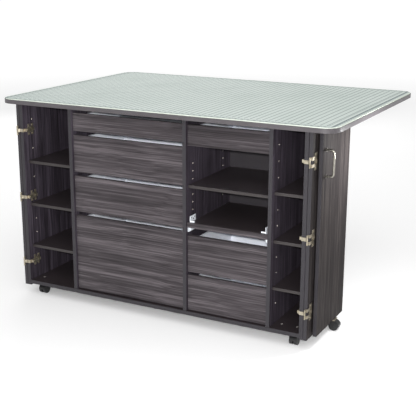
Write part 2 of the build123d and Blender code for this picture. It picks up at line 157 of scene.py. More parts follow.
class FinishTree:
    """One material and the few calls that its finish is written with."""

    def __init__(self, name: str) -> None:
        """Start a material with a Principled shader.

        Args:
            name: Name of the material.
        """
        self.material = bpy.data.materials.new(name)
        self.material.use_nodes = True
        self.tree = self.material.node_tree
        self.shader = self.tree.nodes["Principled BSDF"]

    def add(self, kind: str, settings: dict[str, Any], inputs: dict[Any, Any]) -> bpy.types.Node:
        """Add any node.

        Args:
            kind: Node type.
            settings: Attributes set first; "stops" fills a colour ramp.
            inputs: Values, numbers or sockets by input name or index.

        Returns:
            The new node.
        """
        node = self.tree.nodes.new(kind)
        for key, value in settings.items():
            if key == "stops":
                ramp = node.color_ramp
                while len(ramp.elements) < len(value):
                    ramp.elements.new(1.0)
                for element, (position, colour) in zip(ramp.elements, value):
                    element.position, element.color = position, colour
            else:
                setattr(node, key, value)
        for key, value in inputs.items():
            self.put(node.inputs[key], value)
        return node

    def put(self, slot: bpy.types.NodeSocket, value: Any) -> None:
        """Link a number or socket, or set a plain value.

        Args:
            slot: Input to feed.
            value: What feeds it.
        """
        if isinstance(value, Num):
            value = value.socket
        if isinstance(value, bpy.types.NodeSocket):
            self.tree.links.new(value, slot)
        else:
            slot.default_value = value

    def place(self) -> tuple[Num, Num, Num]:
        """Read the Object coordinates.

        Returns:
            The place along X, Y and Z.
        """
        where = self.add("ShaderNodeTexCoord", {}, {}).outputs["Object"]
        parts = self.add("ShaderNodeSeparateXYZ", {}, {0: where})
        return tuple(Num(self.tree, s) for s in parts.outputs)

    def noise(self, at: Sequence[Num], detail: float, rough: float) -> Num:
        """Noise at a stretched place.

        Args:
            at: Three numbers, already scaled.
            detail: Octaves.
            rough: Weight of the finer octaves.

        Returns:
            The noise, about 0 to 1.
        """
        where = self.add("ShaderNodeCombineXYZ", {}, dict(enumerate(at)))
        node = self.add("ShaderNodeTexNoise", {"noise_dimensions": "3D"},
                        {"Vector": where.outputs[0], "Scale": 1.0, "Detail": detail,
                         "Roughness": rough})
        return Num(self.tree, node.outputs["Fac"])

    def ramp(self, value: Num, stops: Sequence[tuple[float, Colour]]) -> bpy.types.NodeSocket:
        """Colour from a number through a ramp."""
        return self.add("ShaderNodeValToRGB", {"stops": stops}, {0: value}).outputs[0]

    def mix(self, share: Num, first: Any, second: Any) -> bpy.types.NodeSocket:
        """Blend two colours; share 1 gives the second."""
        node = self.add("ShaderNodeMix", {"data_type": "RGBA"}, {0: share, 6: first, 7: second})
        return node.outputs[2]

    def bump(self, height: Num, strength: float, distance: float) -> None:
        """Put relief on the shader's normal.

        Args:
            height: Height over the surface, about 0 to 1.
            strength: Share of the relief that shows.
            distance: Depth of the relief in metres.
        """
        node = self.add("ShaderNodeBump", {}, {"Strength": strength, "Distance": distance,
                                               "Height": height})
        self.put(self.shader.inputs["Normal"], node.outputs[0])

    def finish(self, **inputs: Any) -> bpy.types.Material:
        """Set the shader's inputs by name, with underscores for spaces.

        Args:
            inputs: Values, numbers or sockets by input name.

        Returns:
            The finished material.
        """
        for key, value in inputs.items():
            self.put(self.shader.inputs[key.replace("_", " ")], value)
        return self.material


class Grain(Enum):
    """Which way the printed grain of a board runs; the value holds the noise stretch."""

    ACROSS = (1.1, 90.0, 90.0)
    DEEP = (90.0, 1.1, 90.0)
    UPRIGHT = (90.0, 90.0, 1.1)


@dataclass(frozen=True)
class Woodgrain:
    """Charcoal laminate with long pale and dark streaks, dark veins and fine dark threads."""

    name: str
    grain: Grain
    dark: str = "1f1b1d"
    middle: str = "423d40"
    light: str = "615b5e"
    roughness: float = 0.46
    specular: float = 0.22
    along_below: float = 10.0
    shares: tuple[float, float, float] = (0.3, 0.45, 0.25)
    stops: tuple[float, float, float] = (0.36, 0.5, 0.64)
    vein_from: float = 0.59
    vein_gain: float = 14.0
    vein_share: float = 0.55
    thread_at: float = 0.47
    thread_gain: float = 30.0
    thread_share: float = 0.7
    relief: float = 0.14
    relief_depth: float = 0.0006

    def material(self) -> bpy.types.Material:
        """Build the laminate.

        Returns:
            The material.
        """
        t = FinishTree(self.name)
        here = t.place()
        stretch = self.grain.value
        waver = t.noise([c * 3.1 for c in here], 2.0, 0.5) - 0.5
        broad = t.noise([c * 4.0 for c in here], 1.0, 0.5)

        def streaks(scale: float, detail: float, rough: float) -> Num:
            """Draw noise out along the grain.

            Args:
                scale: Fineness; the streaks get thinner and shorter as it grows.
                detail: Octaves.
                rough: Weight of the finer octaves.

            Returns:
                The noise, about 0 to 1.
            """
            finer = [s > self.along_below for s in stretch]
            return t.noise([c * (s * scale if fine else s * (0.6 + 0.4 * scale))
                            + waver * (1.5 * scale if fine else 0.0)
                            for c, s, fine in zip(here, stretch, finer)], detail, rough)

        bands = streaks(0.45, 3.0, 0.6)
        lines = streaks(1.9, 3.0, 0.65)
        hairs = streaks(6.0, 2.0, 0.6)
        in_bands, in_lines, in_hairs = self.shares
        tone = bands * in_bands + lines * in_lines + hairs * in_hairs + (broad - 0.5) * 0.1
        tints = [tint(code) for code in (self.dark, self.middle, self.light)]
        colour = t.ramp(tone, tuple(zip(self.stops, tints)))
        veins = ((streaks(1.3, 2.0, 0.5) - self.vein_from) * self.vein_gain).unit()
        off_thread = abs(streaks(0.9, 2.0, 0.5) - self.thread_at)
        threads = (1.0 - off_thread * self.thread_gain).unit()
        drawn = (veins * self.vein_share).highest(threads * self.thread_share)
        colour = t.mix(drawn, colour, tint(self.dark))
        t.bump(tone - veins * 0.3, self.relief, self.relief_depth)
        return t.finish(Base_Color=colour, Roughness=self.roughness + (tone - 0.5) * 0.3,
                        Specular_IOR_Level=self.specular)


@dataclass(frozen=True)
class PlainLaminate:
    """Dark inner laminate with a barely visible texture."""

    name: str
    colour: str
    roughness: float = 0.55
    mottle_scale: float = 14.0
    grit_scale: float = 900.0
    deep_share: float = 0.82

    def material(self) -> bpy.types.Material:
        """Build the laminate.

        Returns:
            The material.
        """
        t = FinishTree(self.name)
        here = t.place()
        mottled = t.noise([c * self.mottle_scale for c in here], 4.0, 0.6)
        grit = t.noise([c * self.grit_scale for c in here], 2.0, 0.5)
        base = tint(self.colour)
        deep = tuple(c * self.deep_share for c in base[:3]) + (1.0,)
        t.bump(grit, 0.08, 0.0003)
        return t.finish(Base_Color=t.mix((mottled * 2.4 - 0.7).unit(), deep, base),
                        Roughness=self.roughness + (grit - 0.5) * 0.1)


@dataclass(frozen=True)
class CuttingMat:
    """Grey-green mat with an inch grid, angled guide lines, a ruled border and a pale rim."""

    name: str
    half_w: float
    half_d: float
    ground: str = "cad5cf"
    ground_pale: str = "d6dfda"
    print_ink: str = "57656a"
    rim: str = "d6dfd2"
    line: float = 0.0011
    border: float = 1.6 * INCH
    scale_from: float = 0.012
    scale_to: float = 0.027
    rim_width: float = 0.0045
    soft_edge: float = 0.0004
    guide_tilts: tuple[float, ...] = (30.0, 60.0)
    grid_ink: float = 0.82
    guide_ink: float = 0.6
    tick_ink: float = 0.55
    mark_ink: float = 0.8
    frame_ink: float = 0.7
    fibre_scale: float = 420.0
    cloud_scale: float = 5.0

    def drawn(self, distance: Num, width: float) -> Num:
        """Soft-edged line where a distance is under half the width."""
        return ((width - distance) / (width * 0.5) + 0.5).unit()

    def material(self) -> bpy.types.Material:
        """Build the printed mat.

        Returns:
            The material.
        """
        t = FinishTree(self.name)
        x, y, z = t.place()
        edge = (self.half_w - abs(x)).lowest(self.half_d - abs(y))
        grid = self.drawn(x.off_line(INCH), self.line * 1.7).highest(
            self.drawn(y.off_line(INCH), self.line * 0.8) * 0.6)
        ticks = self.drawn(x.off_line(INCH / 4), self.line * 0.7).highest(
            self.drawn(y.off_line(INCH / 4), self.line * 0.7))
        marks = self.drawn(x.off_line(INCH), self.line * 4.0).highest(
            self.drawn(y.off_line(INCH), self.line * 4.0))
        diagonal = abs(x - y + (self.half_w - self.half_d)) * math.sqrt(0.5)
        guides = self.drawn(diagonal, self.line * 1.4)
        for tilt in self.guide_tilts:
            slope = abs((x + self.half_w) * math.sin(math.radians(tilt))
                        - (y + self.half_d) * math.cos(math.radians(tilt)))
            guides = guides.highest(self.drawn(slope, self.line) * 0.6)
        field_share = ((edge - self.border) / self.soft_edge + 0.5).unit()
        middle, reach = (self.scale_from + self.scale_to) / 2, (self.scale_to - self.scale_from) / 2
        scale_share = ((reach - abs(edge - middle)) / self.soft_edge).unit()
        frame_line = self.drawn(abs(edge - self.border), self.line * 1.3)
        ink = ((grid * self.grid_ink).highest(guides * self.guide_ink)) * field_share
        ink = ink.highest(ticks * scale_share * self.tick_ink).highest(
            marks * scale_share * self.mark_ink)
        ink = ink.highest(frame_line * self.frame_ink)
        rim = 1.0 - ((edge - self.rim_width) / (2 * self.soft_edge)).unit()
        fibre = t.noise([c * self.fibre_scale for c in (x, y, z)], 3.0, 0.6)
        cloud = t.noise([c * self.cloud_scale for c in (x, y, z)], 3.0, 0.5)
        ground = t.mix((cloud * 1.6 - 0.3).unit(), tint(self.ground), tint(self.ground_pale))
        colour = t.mix(ink, ground, tint(self.print_ink))
        colour = t.mix(rim, colour, tint(self.rim))
        t.bump(fibre, 0.1, 0.0003)
        return t.finish(Base_Color=colour, Roughness=0.72 + (fibre - 0.5) * 0.12,
                        Specular_IOR_Level=0.25)


@dataclass(frozen=True)
class PlatedMetal:
    """Plated or brushed metal with fine wear."""

    name: str
    colour: str
    worn: str
    roughness: float = 0.28
    brush: Point = (260.0, 260.0, 900.0)
    metal: float = 1.0
    blotch_scale: float = 60.0

    def material(self) -> bpy.types.Material:
        """Build the metal.

        Returns:
            The material.
        """
        t = FinishTree(self.name)
        here = t.place()
        strokes = t.noise([c * scale for c, scale in zip(here, self.brush)], 3.0, 0.6)
        blotch = t.noise([c * self.blotch_scale for c in here], 3.0, 0.6)
        colour = t.mix((blotch * 2.2 - 0.7).unit(), tint(self.colour), tint(self.worn))
        t.bump(strokes, 0.06, 0.0002)
        return t.finish(Base_Color=colour, Metallic=self.metal,
                        Roughness=self.roughness + (strokes - 0.5) * 0.22)


@dataclass(frozen=True)
class Coated:
    """Enamel, nylon or rubber: one colour with a light orange-peel or moulded grain."""

    name: str
    colour: str
    roughness: float = 0.4
    peel: float = 600.0
    coat: float = 0.0
    dust_scale: float = 25.0

    def material(self) -> bpy.types.Material:
        """Build the coating.

        Returns:
            The material.
        """
        t = FinishTree(self.name)
        here = t.place()
        peel = t.noise([c * self.peel for c in here], 2.0, 0.5)
        dust = t.noise([c * self.dust_scale for c in here], 4.0, 0.6)
        base = tint(self.colour)
        dull = tuple(c * 0.9 + 0.012 for c in base[:3]) + (1.0,)
        t.bump(peel, 0.07, 0.0003)
        return t.finish(Base_Color=t.mix((dust * 2.6 - 1.1).unit(), base, dull),
                        Roughness=self.roughness + (peel - 0.5) * 0.12, Coat_Weight=self.coat)


Finish = Union[Woodgrain, PlainLaminate, CuttingMat, PlatedMetal, Coated]
MAT_LOW, MAT_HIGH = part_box("front_mat")[0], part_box("rear_mat")[1]


class Finishes:
    """Every finish of the table, each built once."""

    drawer_face = Woodgrain("charcoal_grain_across", Grain.ACROSS)
    panel_face = Woodgrain("charcoal_grain_upright", Grain.UPRIGHT, "1d191c", "3c363e", "5d5660",
                           0.52, 0.16)
    top_face = Woodgrain("charcoal_grain_deep", Grain.DEEP)
    front_edge = PlainLaminate("charcoal_edge_band", "28252a", 0.5)
    top_edge = PlainLaminate("table_edge_band", "4e4a4d", 0.36)
    shelf_edge = PlainLaminate("shelf_edge_band", "302b2b", 0.5)
    lining = PlainLaminate("dark_lining", "2f292b", 0.42)
    # Partly painted shade: the back board's own dark colour, set darker still so the back of the
    # open bays reads as shaded.
    back_board_with_shade = PlainLaminate("back_board_with_shade", "363236", 0.62)
    mat = CuttingMat("printed_mat", max(-MAT_LOW.x, MAT_HIGH.x), max(-MAT_LOW.y, MAT_HIGH.y))
    mat_rim = Coated("mat_edge", "ccd5c9", 0.5)
    # Painted shade: the same upright laminate as the panels, with darker colours standing in for
    # the shade the end doors sit in; the grain is real.
    door_face_shaded = Woodgrain("charcoal_grain_doors_painted_shade", Grain.UPRIGHT, "181516", "302c2c", "4d4846",
                          0.62, 0.05)
    drawer_lining = Coated("white_drawer_lining", "f4f7ff", 0.4, 300.0)
    enamel = Coated("white_enamel", "e4e8ee", 0.32, 300.0, 0.3)
    hinge_plate = PlatedMetal("warm_nickel", "bdb4a2", "857d6b", 0.36, metal=0.85)
    grip_metal = PlatedMetal("brushed_nickel", "99968e", "848179", 0.26, (900.0, 900.0, 60.0))
    zinc = PlatedMetal("zinc_plate", "b9bbbd", "9a9c9e", 0.38)
    # Painted shade: near-black for the inside of screw recesses and holes, standing in for the
    # shade there.
    recess_shade = Coated("painted_recess_shade", "1d1b1a", 0.6)
    nylon = Coated("black_nylon", "0c0c0e", 0.36)
    tread = Coated("soft_tread", "151517", 0.6, 900.0)
    cap = Coated("cam_cap", "8f8a87", 0.5)
    raw_board = Coated("raw_board", "dcd5ca", 0.85, 900.0)
    felt = Coated("felt_pad", "34302f", 0.95, 1500.0)
    _built: dict[str, bpy.types.Material] = {}

    @classmethod
    def get(cls, finish: Finish) -> bpy.types.Material:
        """Look a finish up, and build it on first use.

        Args:
            finish: The finish.

        Returns:
            Its material.
        """
        if finish.name not in cls._built:
            cls._built[finish.name] = finish.material()
        return cls._built[finish.name]


# ---- dressing and meshes ------------------------------------------------------------------------


class Facing(Enum):
    """Which faces of a board get a finish, by their outward direction."""

    FRONT = (0, -1, 0)
    TOP = (0, 0, 1)


def dress(node: str, main: Finish, by_facing: dict[Facing, Finish] | None = None,
          both_ways: bool = False) -> bpy.types.Object:
    """Give a CAD piece its finishes.

    Args:
        node: The piece's name.
        main: Finish of every face that no direction claims.
        by_facing: Finishes of faces that look along a direction.
        both_ways: Claim the opposite direction too.

    Returns:
        The piece's object.
    """
    piece = frame["nodes"][node]
    piece.data.materials.clear()
    piece.data.materials.append(Finishes.get(main))
    for index, (facing, finish) in enumerate((by_facing or {}).items(), start=1):
        piece.data.materials.append(Finishes.get(finish))
        towards = Vector(facing.value)
        for face in piece.data.polygons:
            along = face.normal.dot(towards)
            if along > SQUARE_ON or (both_ways and along < -SQUARE_ON):
                face.material_index = index
    log.info("dressed %s", node)
    return piece


def show(name: str, mesh: bpy.types.Mesh, body: str,
         finish: Finish | None = None) -> bpy.types.Object:
    """Put a new piece in the scene on its body.

    Args:
        name: Piece name.
        mesh: Its mesh, in place.
        body: CAD body that carries it.
        finish: Its finish, unless the mesh has one.

    Returns:
        The new object.
    """
    piece = bpy.data.objects.new(name, mesh)
    bpy.context.scene.collection.objects.link(piece)
    if finish is not None:
        mesh.materials.clear()
        mesh.materials.append(Finishes.get(finish))
    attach(piece, body)
    log.info("made %s with %d faces", name, len(mesh.polygons))
    return piece


def blocks_mesh(name: str, boxes: Iterable[tuple[Point, Point]]) -> bpy.types.Mesh:
    """Closed mesh of separate blocks.

    Args:
        name: Mesh name.
        boxes: Two opposite corners of each block.

    Returns:
        The mesh.
    """
    points: list[Point] = []
    faces: list[tuple[int, ...]] = []
    for a, b in boxes:
        low, high = [tuple(map(f, a, b)) for f in (min, max)]
        k = len(points)
        points += [(p[0], q[1], r[2]) for r in (low, high) for q in (low, high)
                   for p in (low, high)]
        faces += [tuple(k + i for i in f) for f in ((0, 2, 3, 1), (4, 5, 7, 6), (0, 1, 5, 4),
                                                    (2, 6, 7, 3), (0, 4, 6, 2), (1, 3, 7, 5))]
    mesh = bpy.data.meshes.new(name)
    mesh.from_pydata(points, [], faces)
    return mesh


# ---- Geometry Nodes -----------------------------------------------------------------------------


class NodeRecipe:
    """A Geometry Nodes tree with named inputs, applied to a seed mesh and turned into a mesh."""

    def __init__(self, name: str, inputs: dict[str, tuple[str, Any]]) -> None:
        """Start a tree.

        Args:
            name: Tree name.
            inputs: Socket type and value of each named input.
        """
        self.tree = bpy.data.node_groups.new(name, "GeometryNodeTree")
        face = self.tree.interface
        face.new_socket("Geometry", in_out="INPUT", socket_type="NodeSocketGeometry")
        self.ids: dict[str, str] = {}
        for label, (kind, value) in inputs.items():
            made = face.new_socket(label, in_out="INPUT", socket_type=kind)
            if value is not None:
                made.default_value = value
            self.ids[label] = made.identifier
        face.new_socket("Geometry", in_out="OUTPUT", socket_type="NodeSocketGeometry")
        self.source = self.tree.nodes.new("NodeGroupInput")
        self.sink = self.tree.nodes.new("NodeGroupOutput")

    def add(self, kind: str, settings: dict[str, Any], inputs: dict[Any, Any]) -> bpy.types.Node:
        """Add a node, its settings first, then its values or links.

        Args:
            kind: Node type.
            settings: Attributes set first.
            inputs: Values or sockets by input name or index.

        Returns:
            The new node.
        """
        node = self.tree.nodes.new(kind)
        for key, value in settings.items():
            setattr(node, key, value)
        for key, value in inputs.items():
            if isinstance(value, bpy.types.NodeSocket):
                self.tree.links.new(value, node.inputs[key])
            else:
                node.inputs[key].default_value = value
        return node

    def given(self, label: str) -> bpy.types.NodeSocket:
        """Output socket of a named input."""
        return self.source.outputs[label]

    def close(self, geometry: bpy.types.NodeSocket) -> None:
        """End the tree in Realize Instances and Set Material.

        Args:
            geometry: Socket with the instances.
        """
        real = self.add("GeometryNodeRealizeInstances", {}, {0: geometry})
        dressed = self.add("GeometryNodeSetMaterial", {},
                           {"Geometry": real.outputs[0], "Material": self.given("Finish")})
        self.tree.links.new(dressed.outputs[0], self.sink.inputs[0])

    def cook(self, name: str, seed_points: Sequence[Point],
             values: dict[str, Any]) -> bpy.types.Mesh:
        """Run the tree.

        Args:
            name: Name of the mesh.
            seed_points: Vertices that the tree starts from.
            values: Values of the named inputs.

        Returns:
            The resulting plain mesh.
        """
        seed = bpy.data.meshes.new(name + "_seed")
        seed.from_pydata([tuple(p) for p in seed_points], [], [])
        holder = bpy.data.objects.new(name + "_holder", seed)
        bpy.context.scene.collection.objects.link(holder)
        modifier = holder.modifiers.new("recipe", "NODES")
        modifier.node_group = self.tree
        for label, value in values.items():
            modifier[self.ids[label]] = value
        graph = bpy.context.evaluated_depsgraph_get()
        mesh = bpy.data.meshes.new_from_object(holder.evaluated_get(graph))
        mesh.name = name
        bpy.data.objects.remove(holder)
        return mesh


class StudRecipe(NodeRecipe):
    """Round heads that stand on points along one direction, each turned by chance."""

    def __init__(self) -> None:
        """Build the tree."""
        super().__init__("round_heads", {
            "Radius": ("NodeSocketFloat", 0.003), "Height": ("NodeSocketFloat", 0.001),
            "Sides": ("NodeSocketInt", 14), "Direction": ("NodeSocketVector", (0, 0, 1)),
            "Seed": ("NodeSocketInt", 7), "Finish": ("NodeSocketMaterial", None)})
        head = self.add("GeometryNodeMeshCylinder", {}, {
            "Vertices": self.given("Sides"), "Radius": self.given("Radius"),
            "Depth": self.given("Height")})
        half = self.add("ShaderNodeMath", {"operation": "MULTIPLY"},
                        {0: self.given("Height"), 1: 0.5})
        lift = self.add("ShaderNodeCombineXYZ", {}, {2: half.outputs[0]})
        raised = self.add("GeometryNodeTransform", {}, {
            "Geometry": head.outputs["Mesh"], "Translation": lift.outputs[0]})
        aim = self.add("FunctionNodeAlignRotationToVector", {"axis": "Z"},
                       {"Vector": self.given("Direction")})
        chance = self.add("FunctionNodeRandomValue", {"data_type": "FLOAT_VECTOR"}, {
            0: (0.0, 0.0, 0.0), 1: (0.0, 0.0, 2 * math.pi), "Seed": self.given("Seed")})
        spin = self.add("FunctionNodeEulerToRotation", {}, {0: chance.outputs[0]})
        turned = self.add("FunctionNodeRotateRotation", {"rotation_space": "LOCAL"},
                          {0: aim.outputs[0], 1: spin.outputs[0]})
        placed = self.add("GeometryNodeInstanceOnPoints", {}, {
            "Points": self.given("Geometry"), "Instance": raised.outputs[0],
            "Rotation": turned.outputs[0]})
        self.close(placed.outputs[0])


class SpokeRecipe(NodeRecipe):
    """Flat spokes round a hub, laid out in XY and then turned and moved to each point."""

    def __init__(self) -> None:
        """Build the tree."""
        super().__init__("hub_spokes", {
            "Count": ("NodeSocketInt", 6), "Ring": ("NodeSocketFloat", 0.011),
            "Length": ("NodeSocketFloat", 0.009), "Width": ("NodeSocketFloat", 0.0022),
            "Height": ("NodeSocketFloat", 0.0012), "Turn": ("NodeSocketRotation", None),
            "Finish": ("NodeSocketMaterial", None)})
        ring = self.add("GeometryNodeMeshCircle", {}, {
            "Vertices": self.given("Count"), "Radius": self.given("Ring")})
        size = self.add("ShaderNodeCombineXYZ", {}, {
            0: self.given("Length"), 1: self.given("Width"), 2: self.given("Height")})
        bar = self.add("GeometryNodeMeshCube", {}, {"Size": size.outputs[0]})
        where = self.add("GeometryNodeInputPosition", {}, {})
        aim = self.add("FunctionNodeAlignRotationToVector", {"axis": "X"},
                       {"Vector": where.outputs[0]})
        star = self.add("GeometryNodeInstanceOnPoints", {}, {
            "Points": ring.outputs[0], "Instance": bar.outputs[0], "Rotation": aim.outputs[0]})
        flat = self.add("GeometryNodeRealizeInstances", {}, {0: star.outputs[0]})
        placed = self.add("GeometryNodeInstanceOnPoints", {}, {
            "Points": self.given("Geometry"), "Instance": flat.outputs[0],
            "Rotation": self.given("Turn")})
        self.close(placed.outputs[0])


STUDS, SPOKES = StudRecipe(), SpokeRecipe()


@dataclass
class ScrewSet:
    """Screws of one size that look the same way: plated heads with near-black recesses of painted
    shade.
    """

    name: str
    body: str
    points: list[Point]
    direction: Point
    radius: float = 0.003
    height: float = 0.0009
    slot: str = "hinge_steel"
    finish: Finish = Finishes.hinge_plate
    # Size of the near-black painted-shade mark on each head; a share of 0 leaves it out.
    recess_share: float = 0.42
    recess_rise: float = 1.12
    recess_sides: int = 4
    seed: int = 7

    def build(self) -> None:
        """Make the heads and the near-black painted-shade marks in their recesses."""
        common = {"Direction": self.direction, "Seed": self.seed}
        heads = STUDS.cook(self.name, self.points, {
            **common, "Radius": self.radius, "Height": self.height,
            "Finish": Finishes.get(self.finish)})
        show(self.name, heads, self.body)
        # Painted shade: a near-black prism on each head stands in for the shade inside the screw's
        # slots.
        if self.recess_share:
            recess_shades = STUDS.cook(self.name + "_recess", self.points, {
                **common, "Radius": self.radius * self.recess_share,
                "Sides": self.recess_sides, "Height": self.height * self.recess_rise,
                "Finish": Finishes.get(Finishes.recess_shade)})
            show(self.name + "_recess", recess_shades, self.body)


# ---- sub-assemblies -----------------------------------------------------------------------------


@dataclass
class Carcass:
    """Fixed cabinet boards, shelves, runners and their fastenings."""

    nail_pitch: float = 0.11
    nail_inset: float = 0.009
    nail_head: tuple[float, float] = (0.0026, 0.0005)
    cap_inset: float = 0.03
    cap_from_front: tuple[float, float] = (0.06, 0.33)
    cap_size: tuple[float, float] = (0.0045, 0.0008)
    skin: float = 0.0001

    def dress_boards(self) -> None:
        """Finish every fixed board."""
        edge = {Facing.FRONT: Finishes.front_edge}
        for node in ("left_side_panel", "right_side_panel", "left_divider", "middle_divider",
                     "right_divider"):
            self.line_holes(dress(node, Finishes.panel_face, edge), node)
        dress("base_panel", Finishes.lining, edge)
        dress("shelves", Finishes.lining, {Facing.FRONT: Finishes.shelf_edge})
        dress("stretchers", Finishes.lining)
        dress("back_panel", Finishes.back_board_with_shade)
        dress("fixed_runners", Finishes.enamel)
        dress("shelf_pins", Finishes.zinc)
        dress("caster_plates", Finishes.zinc)

    def line_holes(self, piece: bpy.types.Object, node: str) -> None:
        """Show raw board inside the drilled holes of a panel.

        Args:
            piece: The panel's object.
            node: Its name.
        """
        piece.data.materials.append(Finishes.get(Finishes.raw_board))
        low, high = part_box(node)
        for face in piece.data.polygons:
            gaps = [min(face.center[i] - low[i], high[i] - face.center[i]) for i in range(3)]
            if min(gaps) > self.skin:
                face.material_index = len(piece.data.materials) - 1

    def nails(self) -> None:
        """Nail heads round the back panel."""
        low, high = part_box("back_panel")
        x0, x1 = low.x + self.nail_inset, high.x - self.nail_inset
        z0, z1 = low.z + self.nail_inset, high.z - self.nail_inset
        across = max(2, round((x1 - x0) / self.nail_pitch))
        upward = max(2, round((z1 - z0) / self.nail_pitch))
        points = [(x0 + (x1 - x0) * i / across, high.y, z) for i in range(across + 1)
                  for z in (z0, z1)]
        points += [(x, high.y, z0 + (z1 - z0) * i / upward) for i in range(1, upward)
                   for x in (x0, x1)]
        ScrewSet("back_nails", "cabinet", points, (0, 1, 0), *self.nail_head, "zinc_steel",
                 Finishes.zinc, 0.0).build()

    def cam_caps(self) -> None:
        """Small caps on the base, over the fittings that join it to the uprights."""
        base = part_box("base_panel")
        columns = [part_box("left_side_panel")[1].x + self.cap_inset,
                   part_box("right_side_panel")[0].x - self.cap_inset,
                   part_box("left_divider")[0].x - self.cap_inset,
                   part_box("right_divider")[1].x + self.cap_inset]
        points = [(x, base[0].y + y, base[1].z) for x in columns for y in self.cap_from_front]
        # Each cap gets a small near-black painted-shade mark in its middle.
        ScrewSet("cam_caps", "cabinet", points, (0, 0, 1), *self.cap_size, "hinge_steel",
                 Finishes.cap, 0.25).build()

    def build(self) -> None:
        """Build the carcass."""
        self.dress_boards()
        self.nails()
        self.cam_caps()


@dataclass
class DrawerStack:
    """Drawers of the two drawer bays and the pull-out tray."""

    counts: dict[str, int] = field(default_factory=lambda: {"wide": 4, "mid": 3})
    screw_from_front: tuple[float, ...] = (0.035, 0.15, 0.3)
    screw_above_bottom: float = 0.03
    screw_size: tuple[float, float] = (0.0028, 0.0007)
    bracket_in: float = 0.009
    bracket_at: tuple[tuple[float, float], ...] = ((0.012, 0.008), (0.026, 0.014), (0.038, 0.008))
    bracket_hole: tuple[float, float] = (0.0034, 0.0004)

    def build(self) -> None:
        """Build the drawers."""
        for bay, count in self.counts.items():
            for number in range(1, count + 1):
                body = f"{bay}_drawer_{number}"
                dress(body + "_front", Finishes.drawer_face)
                dress(body + "_box", Finishes.drawer_lining)
                low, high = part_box(body + "_box")
                z = min(low.z + self.screw_above_bottom, (low.z + high.z) / 2)
                points = [(low.x, low.y + y, z) for y in self.screw_from_front]
                ScrewSet(body + "_slide_screws", body, points, (-1, 0, 0), *self.screw_size,
                         "zinc_steel", Finishes.zinc).build()
        dress("tray", Finishes.drawer_face, {Facing.TOP: Finishes.lining})
        dress("tray_slides", Finishes.enamel)
        self.bracket_hole_shades()

    def bracket_hole_shades(self) -> None:
        """Near-black discs on the tray's upright brackets, as painted shade where the holes are."""
        low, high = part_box("tray_slides")
        for label, x, way in (("left", low.x + self.bracket_in, 1.0),
                              ("right", high.x - self.bracket_in, -1.0)):
            points = [(x, low.y + y, high.z - z) for y, z in self.bracket_at]
            # Painted shade: flat near-black discs stand in for the shade seen through the holes.
            ScrewSet(f"tray_bracket_holes_{label}", "pull_out_tray", points, (way, 0, 0),
                     *self.bracket_hole, "white_steel", Finishes.recess_shade, 0.0).build()


